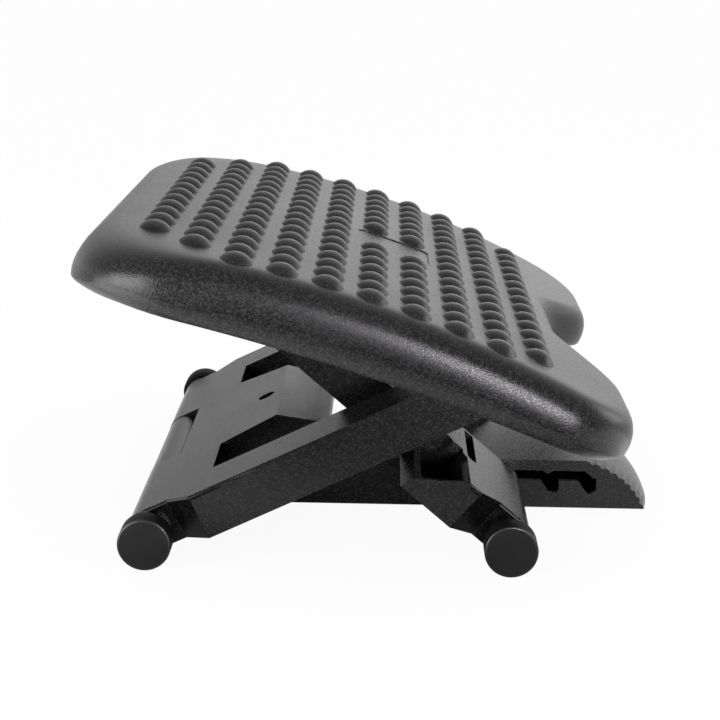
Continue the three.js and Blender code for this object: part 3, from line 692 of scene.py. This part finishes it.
def rib(side, inner):
    steps = [-droop_start + (flat_front + droop_start) * i / rib_steps
             for i in range(rib_steps + 1)]
    outline = []
    for height, places in ((-tray_wall / 2, steps), (-tray_wall / 2 - rib_depth, steps[::-1])):
        for along in places:
            radius = arc_radius + height
            outline.append((radius * math.sin(along / arc_radius) - apex_setback,
                            rod_drop - arc_radius + radius * math.cos(along / arc_radius)))
    piece = swept("rib", outline, side * inner, side * (inner + rib_width), tray_place)
    combine(tray, piece, "UNION")


for side in (-1, 1):
    rib(side, bearer_inner)
    rib(side, bearer_outer - rib_width)
    for x in rods_along:
        lug(x, side, bearer_inner, bearer_outer)
    lug(rods_along[1], side, outer_lug, outer_lug + lug_width)
    lug(rods_along[0], side, inner_lug, inner_lug + lug_width)


def bar(name, radius, start, stop, sides, place):
    """A plain round bar, to be cut away."""
    profile = [(0, start), (radius, start), (radius, stop), (0, stop)]
    return turned(name, profile, sides, place)


seat_reach = outer_lug + lug_width + seat_overrun
for x in rods_along:
    lying = tray_place @ Matrix.Translation((x, 0, 0)) @ Matrix.Rotation(math.pi / 2, 4, "X")
    combine(tray, bar("seat", seat_radius, -seat_reach, seat_reach, 32, lying), "DIFFERENCE")
    for end in (-1, 1):
        for side in (-1, 1):
            upright = tray_place @ Matrix.Translation(
                (x + end * screw_spacing / 2, side * bearer_middle, 0))
            combine(tray, bar("hole", screw_hole, -hole_overrun, screw_hole_depth, 16, upright),
                    "DIFFERENCE")
finish_piece(tray, "tray_body", tray_plastic, "grained_black_plastic", "tray")

# %% [markdown]
# ## Leg frames and keepers
# These are moulded channels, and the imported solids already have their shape.
# What a plain solid lacks is the small round on every edge, which draws a thin
# line of light along it. So each solid is copied, its triangles are merged into
# whole faces, and a narrow bevel is run along every edge. The outer walls also
# have a slanted ledge just below the top face, where the mould opened. It could
# be drawn into the section, but it ends partway along the arms, so a slim wedge
# is hulled around eight points and joined on.

# %% Frames and keepers
edge_round = 0.0007
keeper_round = 0.0004
rear_leg_angle = math.radians(25.8)
front_leg_angle = math.radians(40.5)
rear_leg_place = (Matrix.Translation((-foot_reach, 0, foot_height))
                  @ Matrix.Rotation(-rear_leg_angle, 4, "Y"))
front_leg_place = (Matrix.Translation((foot_reach, 0, foot_height))
                   @ Matrix.Rotation(math.pi, 4, "Z")
                   @ Matrix.Rotation(-front_leg_angle, 4, "Y"))
neck_side = 0.16
neck_start = 0.004
neck_end = 0.02
flare_end = 0.037
rear_ledge_end = 0.085
front_ledge_end = 0.046
frame_side = 0.174
frame_top = 0.0143
ledge_drop = 0.0006
flare_drop = 0.0001
ledge_width = 0.0036
ledge_fall = 0.0006
ledge_root = 0.001


def moulded(node, width=edge_round):
    """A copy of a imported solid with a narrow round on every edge."""
    return apply(solid_copy(node, node + "_moulding"), "BEVEL", width=width, segments=2,
                 limit_method="ANGLE", angle_limit=math.radians(28), use_clamp_overlap=True,
                 harden_normals=False)


def ledge(frame_piece, place, start, stop, drop, end_share=1):
    """A slanted ledge along both outer walls, a step below the top face."""
    for side in (-1, 1):
        bm = bmesh.new()
        for (x, y), part in ((start, 1), (stop, end_share)):
            width, fall = ledge_width * part, ledge_fall * part
            section = ((-ledge_root, 0), (0, 0), (width, fall), (-ledge_root, fall + ledge_width))
            for out, down in section:
                bm.verts.new(place @ Vector((x, side * (y + out), frame_top - drop - down)))
        bmesh.ops.convex_hull(bm, input=bm.verts)
        bmesh.ops.recalc_face_normals(bm, faces=bm.faces)
        combine(frame_piece, new_piece("ledge", bm), "UNION")


def cleaned(piece):
    """Merges the splinters that a cut leaves on flat faces."""
    bm = bmesh.new()
    bm.from_mesh(piece.data)
    bmesh.ops.remove_doubles(bm, verts=bm.verts, dist=0.000004)
    bmesh.ops.dissolve_limit(bm, angle_limit=math.radians(0.5), verts=bm.verts, edges=bm.edges)
    bm.to_mesh(piece.data)
    bm.free()
    return piece


def finish_frame(piece, body, node):
    finish_piece(piece, body, frame_plastic, "frame_black_plastic", node)


neck = ((neck_start, neck_side), (neck_end, neck_side))
flare = ((neck_end, neck_side), (flare_end, frame_side))
rear_arm = ((flare_end, frame_side), (rear_ledge_end, frame_side))
front_arm = ((flare_end, frame_side), (front_ledge_end, frame_side))
rear_frame = moulded("rear_frame")
ledge(rear_frame, rear_leg_place, *neck, ledge_drop)
ledge(rear_frame, rear_leg_place, *flare, flare_drop)
ledge(rear_frame, rear_leg_place, *rear_arm, ledge_drop, end_share=0.2)
finish_frame(cleaned(rear_frame), "rear_legs", "rear_frame")
front_frame = moulded("front_frame")
ledge(front_frame, front_leg_place, *neck, ledge_drop)
ledge(front_frame, front_leg_place, *front_arm, ledge_drop)
finish_frame(cleaned(front_frame), "front_legs", "front_frame")
for end in ("rear", "front"):
    for word in ("near", "far"):
        node = f"{end}_keeper_{word}"
        finish_frame(moulded(node, keeper_round), "tray_body", node)

# %% [markdown]
# ## The rail box and its grip
# The nose of the rail box curves down to the floor. Along both side edges of
# the curve there are grip notches that fade out towards the middle. Each one is
# cut by a slim round bar that starts inside the edge and rises out of the skin.

# %% Rail box
nose_curve = (Vector((0.221, 0, 0)), Vector((0.2122, 0, 0.02534)), Vector((0.178, 0, 0.0352)))
rail_half_width = 0.051
grip_count = 8
grip_first = 0.1
grip_span = 0.82
grip_radius = 0.0028
grip_depth = 0.0013
grip_reach = 0.02
grip_bulge = 0.0037


def grip_cutter(share, side):
    """A bar that leans out of the nose, away from one side edge."""
    foot, bend_point, head = nose_curve
    spot = foot * (1 - share) ** 2 + bend_point * 2 * share * (1 - share) + head * share ** 2
    run = (bend_point - foot) * (1 - share) + (head - bend_point) * share
    outward = Vector((run.z, 0, -run.x)).normalized()
    start = spot + outward * (grip_radius - grip_depth) + Vector((0, side * rail_half_width, 0))
    stop = (spot + outward * grip_radius * 1.2
            + Vector((grip_bulge, side * (rail_half_width - grip_reach), 0)))
    lean = stop - start
    length = lean.length
    start -= lean * 0.15
    turn = lean.to_track_quat("Z", "Y").to_matrix().to_4x4()
    return bar("grip", grip_radius, 0, length * 1.3, 20, Matrix.Translation(start) @ turn)


rail = moulded("rail_box")
for side in (-1, 1):
    for i in range(grip_count):
        share = grip_first + grip_span * i / (grip_count - 1)
        combine(rail, grip_cutter(share, side), "DIFFERENCE")
finish_frame(cleaned(rail), "rail", "rail_box")

# %% [markdown]
# ## Foot caps, rods and screws
# The rubber caps are cups pushed over the ends of the foot bars, with a small
# round at the rim of the face. The rods and the pin are cut from drawn bar and
# have chamfered ends. The screws have pan heads with a cross recess, which is
# cut by two small wedges.

# %% Caps
cap_radius = 0.01725
cap_length = 0.015
cap_face = 0.003
cap_bore = 0.0146
cap_round = 0.0011
cap_lip = 0.0005
cap_sides = 72


def cap_profile():
    """From the middle of the face, over its rim, to the mouth and down the bore."""
    face_corner = (cap_radius - cap_round, -cap_length + cap_round)
    mouth_corner = (cap_radius - cap_lip, -cap_lip)
    return ([(0, -cap_length), (face_corner[0] * 0.5, -cap_length)]
            + rounded(face_corner, cap_round, -math.pi / 2)
            + rounded(mouth_corner, cap_lip, 0, 2)
            + [(cap_bore, 0), (cap_bore, cap_face - cap_length), (0, cap_face - cap_length)])


def facing(node, side):
    """Sets a turned piece on a node's axis with its end on that side."""
    low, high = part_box(node)
    middle = (low + high) / 2
    return (Matrix.Translation((middle.x, low.y + cap_length if side < 0 else high.y - cap_length,
                                cap_radius))
            @ Matrix.Rotation(-side * math.pi / 2, 4, "X")
            @ Matrix.Rotation(math.pi, 4, "X"))


for end in ("rear", "front"):
    for word, side in (("near", -1), ("far", 1)):
        node = f"{end}_foot_cap_{word}"
        cap = turned(node + "_moulding", cap_profile(), cap_sides, facing(node, side))
        finish_piece(cap, end + "_legs", rubber.material, "rubber_black", node)

# %% Rods and pin
rod_chamfer = 0.0006
rod_sides = 40
hinge_radius = 0.003
pin_radius = 0.0025


def rod(node, body, radius):
    low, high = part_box(node)
    half = (high.y - low.y) / 2
    quarter = [(0, half), (radius - rod_chamfer, half), (radius, half - rod_chamfer)]
    profile = quarter + [(r, -length) for r, length in quarter[::-1]]
    place = Matrix.Translation((low + high) / 2) @ Matrix.Rotation(math.pi / 2, 4, "X")
    piece = turned(node + "_turned", profile, rod_sides, place)
    finish_piece(piece, body, rod_steel, "rod_steel", node)


rod("rear_hinge_rod", "rear_rod", hinge_radius)
rod("front_hinge_rod", "tray_body", hinge_radius)
rod("rear_top_hinge_rod", "tray_body", hinge_radius)
rod("front_foot_pin", "front_legs", pin_radius)

# %% Screws
head_radius = 0.0036
head_height = 0.0024
shank_radius = 0.00175
shank_length = 0.013
screw_drop = 0.0053
cross_length = 0.0042
cross_width = 0.0008
cross_depth = 0.0013


def screw(node, x, y):
    """A pan head below the keeper, with its shank up into the bearer."""
    crown = [(head_radius * math.sin(turn), -head_height * (0.55 + 0.45 * math.cos(turn)))
             for turn in (i / 6 * math.pi / 2 for i in range(7))]
    profile = crown + [(head_radius, 0), (shank_radius, 0),
                       (shank_radius, shank_length - shank_radius), (0, shank_length)]
    place = tray_place @ Matrix.Translation((x, y, -screw_drop))
    piece = turned(node + "_turned", profile, 32, place)
    for turn in (0, math.pi / 2):
        outline = [(-cross_length / 2, -head_height * 1.2), (cross_length / 2, -head_height * 1.2),
                   (cross_length / 5, cross_depth - head_height),
                   (-cross_length / 5, cross_depth - head_height)]
        wedge = swept("wedge", outline, -cross_width / 2, cross_width / 2,
                      place @ Matrix.Rotation(turn, 4, "Z"))
        combine(piece, wedge, "DIFFERENCE")
    finish_piece(piece, "tray_body", screw_steel, "screw_steel", node)


for end, x in zip(("rear", "front"), rods_along):
    for word, side in (("near", -1), ("far", 1)):
        for letter, way in (("a", -1), ("b", 1)):
            screw(f"{end}_keeper_{word}_screw_{letter}", x + way * screw_spacing / 2,
                  side * bearer_middle)

# %% [markdown]
# ## The floor
# The footrest stands on a plain pale floor, which the camera sees as white with
# a soft shadow. Satin plastic mirrors the floor as well, and for mirror rays the
# floor glows with painted pools of light and painted shade. Each pool is a
# product of soft steps along and across the floor: pale behind the footrest, at
# its left and at its right, a low pool in front for the near walls of the
# frames, and painted deep shade under the near arms. Inside the rail box the
# floor is painted dark, a painted shade, so that its slots stay black.

# %% Floor
bm = bmesh.new()
bmesh.ops.create_grid(bm, x_segments=1, y_segments=1, size=8)
floor = new_piece("floor", bm)
floor_finish = Finish("pale_floor", Roughness=0.9, Specular_IOR_Level=0.0)
seen = floor_finish.node("LightPath", output="Is Camera Ray")
mirrored = floor_finish.node("LightPath", output="Is Glossy Ray")
spot = floor_finish.node("SeparateXYZ", None, {0: floor_finish.place})
rail_low, rail_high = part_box("rail_box")
nose_margin = 0.009
wall_margin = 0.0095
# level of the painted deep shade under the near arms, seen in the floor's reflection
painted_deep_shade = 0.02
# painted shade: inside the rail box the floor is dark and has no glow
painted_rail_shade = (spot.between(rail_low.x + nose_margin, rail_high.x - nose_margin)
          * spot.out("Y").between(rail_low.y + wall_margin, rail_high.y - wall_margin))


def along(start, stop, low=0, high=1):
    """A soft step from one level to another along the footrest."""
    return floor_finish.node("MapRange", {"interpolation_type": "SMOOTHSTEP"}, {
        "Value": spot, "From Min": start, "From Max": stop, "To Min": low, "To Max": high})


def across(start, stop, low=0, high=1):
    """A soft step from one level to another, away from the camera."""
    return floor_finish.node("MapRange", {"interpolation_type": "SMOOTHSTEP"}, {
        "Value": spot.out("Y"), "From Min": start, "From Max": stop,
        "To Min": low, "To Max": high})


def brighter(first, *others):
    for other in others:
        first = floor_finish.maths_of("MAXIMUM", first, other)
    return first


# painted reflection: pools of light and painted shade that the floor shows to mirror rays only
painted_arm_shade = brighter(along(0.08, 0.13, painted_deep_shade), along(-0.04, -0.12, painted_deep_shade),
                     across(-0.19, -0.24, painted_deep_shade), across(-0.045, 0.02, painted_deep_shade))
painted_rear_pool = across(-0.3, 0, 0.06, 0.9) * painted_arm_shade
painted_nose_pool = along(0.14, 0.2, 0, 0.7) * across(-0.02, -0.08) * across(-0.24, -0.18)
painted_left_pool = (along(-0.165, -0.3, 0.01) * across(-1, -0.7, 0, 4.2)
             * across(-0.2, -0.04, 1, 0.2))
painted_right_pool = (along(0.13, 0.34, 0.02) * across(-0.6, -0.36, 0, 2.2)
              * across(-0.1, 0.05, 1, 0.35))
painted_arm_pool = (along(-0.08, 0.06, 2.2, 1.2) * along(0.2, 0.1)
            * across(-0.39, -0.3) * across(-0.22, -0.27))
painted_reflection = brighter(painted_rear_pool + painted_nose_pool, painted_left_pool, painted_right_pool) + painted_arm_pool
# the floor glows white for the camera and with the painted reflection for mirror rays
painted_glow = floor_finish.node("Emission", None, {
    "Color": seen + (1 - seen) * painted_reflection, "Strength": 1})
mixed = floor_finish.node("MixShader", None, {
    0: (seen * 0.94 + mirrored) * (1 - painted_rail_shade), 1: floor_finish.surface, 2: painted_glow})
floor_finish.feed(floor_finish.end.inputs["Surface"], mixed)
# painted shade: dark floor colour inside the rail box, pale elsewhere
floor_finish.set(Base_Color=floor_finish.node("Mix", {"data_type": "RGBA"}, {
    0: painted_rail_shade, 6: grey(0.9), 7: grey(0.02)}, output=2))
floor.data.materials.append(floor_finish.material)
print("floor finish has", len(floor_finish.tree.nodes), "nodes")

# %% [markdown]
# ## The surround
# In a white room black plastic turns grey on every side. So the surround is
# white for the camera alone. As a light it is pale behind the footrest and at
# its sides, dark in front, and a little dimmer towards the left, where the top
# faces of the rear frame look. A low card at the left gives the tray's corner
# its sheen.

# %% Surround
surround = bpy.data.worlds.new("surround")
scene.world = surround
sky = Shader(surround)
direction = sky.node("SeparateXYZ", None, {0: sky.node("TexCoord", output="Generated")})


def fade(value, start, stop):
    """A soft step from 0 at start to 1 at stop."""
    return sky.node("MapRange", {"interpolation_type": "SMOOTHSTEP"}, {
        "Value": value, "From Min": start, "From Max": stop, "To Min": 0, "To Max": 1})


height = direction.out("Z")
behind = fade(direction.out("Y"), -0.35, 0.35)
left_side = fade(direction * -1, 0.3, 0.75)
right_side = fade(direction, 0.5, 0.9)
around = sky.maths_of("MAXIMUM", behind, sky.maths_of("MAXIMUM", left_side, right_side * 0.7))
lowness = 1 - fade(height, 0.2, 0.95)
upper = fade(height, 0, 0.3) * 0.28 + fade(height, 0.3, 0.9) * 0.34
left_card = left_side * (1 - fade(height, 0.05, 0.4)) * 0.9
rightness = fade(direction, -0.43, 0.22) * 0.76 + 0.34
studio = around * (lowness * 0.55 + 0.45) * rightness + left_card + upper + 0.05
white = sky.node("Background", None, {"Color": (1, 1, 1, 1), "Strength": 1})
lit_by = sky.node("Background", None, {"Color": (1, 1, 1, 1), "Strength": studio})
camera_ray = sky.node("LightPath", output="Is Camera Ray")
sky.node("OutputWorld", None, {"Surface": sky.node("MixShader", None, {
    0: camera_ray, 1: lit_by, 2: white})}, output=None)
print("surround has", len(sky.tree.nodes), "nodes")

# %% [markdown]
# ## The lamps
# Three softboxes add what an even surround can't. A small one low in front
# draws the bright stripe along the tray's near rim, one at the left lights the
# tray's near corner, and a large one at the right lifts the front of the tray.


# %% Lamps
def soft_light(name, place, aim, size, power, colour=(1, 1, 1)):
    """A rectangular softbox that points at a spot."""
    lamp = bpy.data.lights.new(name, "AREA")
    lamp.shape = "RECTANGLE"
    lamp.size, lamp.size_y = size
    lamp.energy = power
    lamp.color = colour
    light = bpy.data.objects.new(name, lamp)
    light.location = place
    light.rotation_mode = "QUATERNION"
    light.rotation_quaternion = (Vector(aim) - Vector(place)).to_track_quat("-Z", "Y")
    scene.collection.objects.link(light)
    print(name, "of", power, "W")


soft_light("front_softbox", place=(0.4, -1.5, 0.15), aim=(0.12, -0.2, 0.12),
           size=(0.22, 0.28), power=15, colour=(1, 0.96, 1.02))
soft_light("left_softbox", place=(-0.57, -0.68, 0.17), aim=(-0.12, -0.2, 0.19),
           size=(0.62, 0.33), power=7)
soft_light("right_softbox", place=(1.6, 0.3, 0.6), aim=(0, 0, 0.15),
           size=(1.0, 0.8), power=7)
scene.view_settings.view_transform = "Standard"
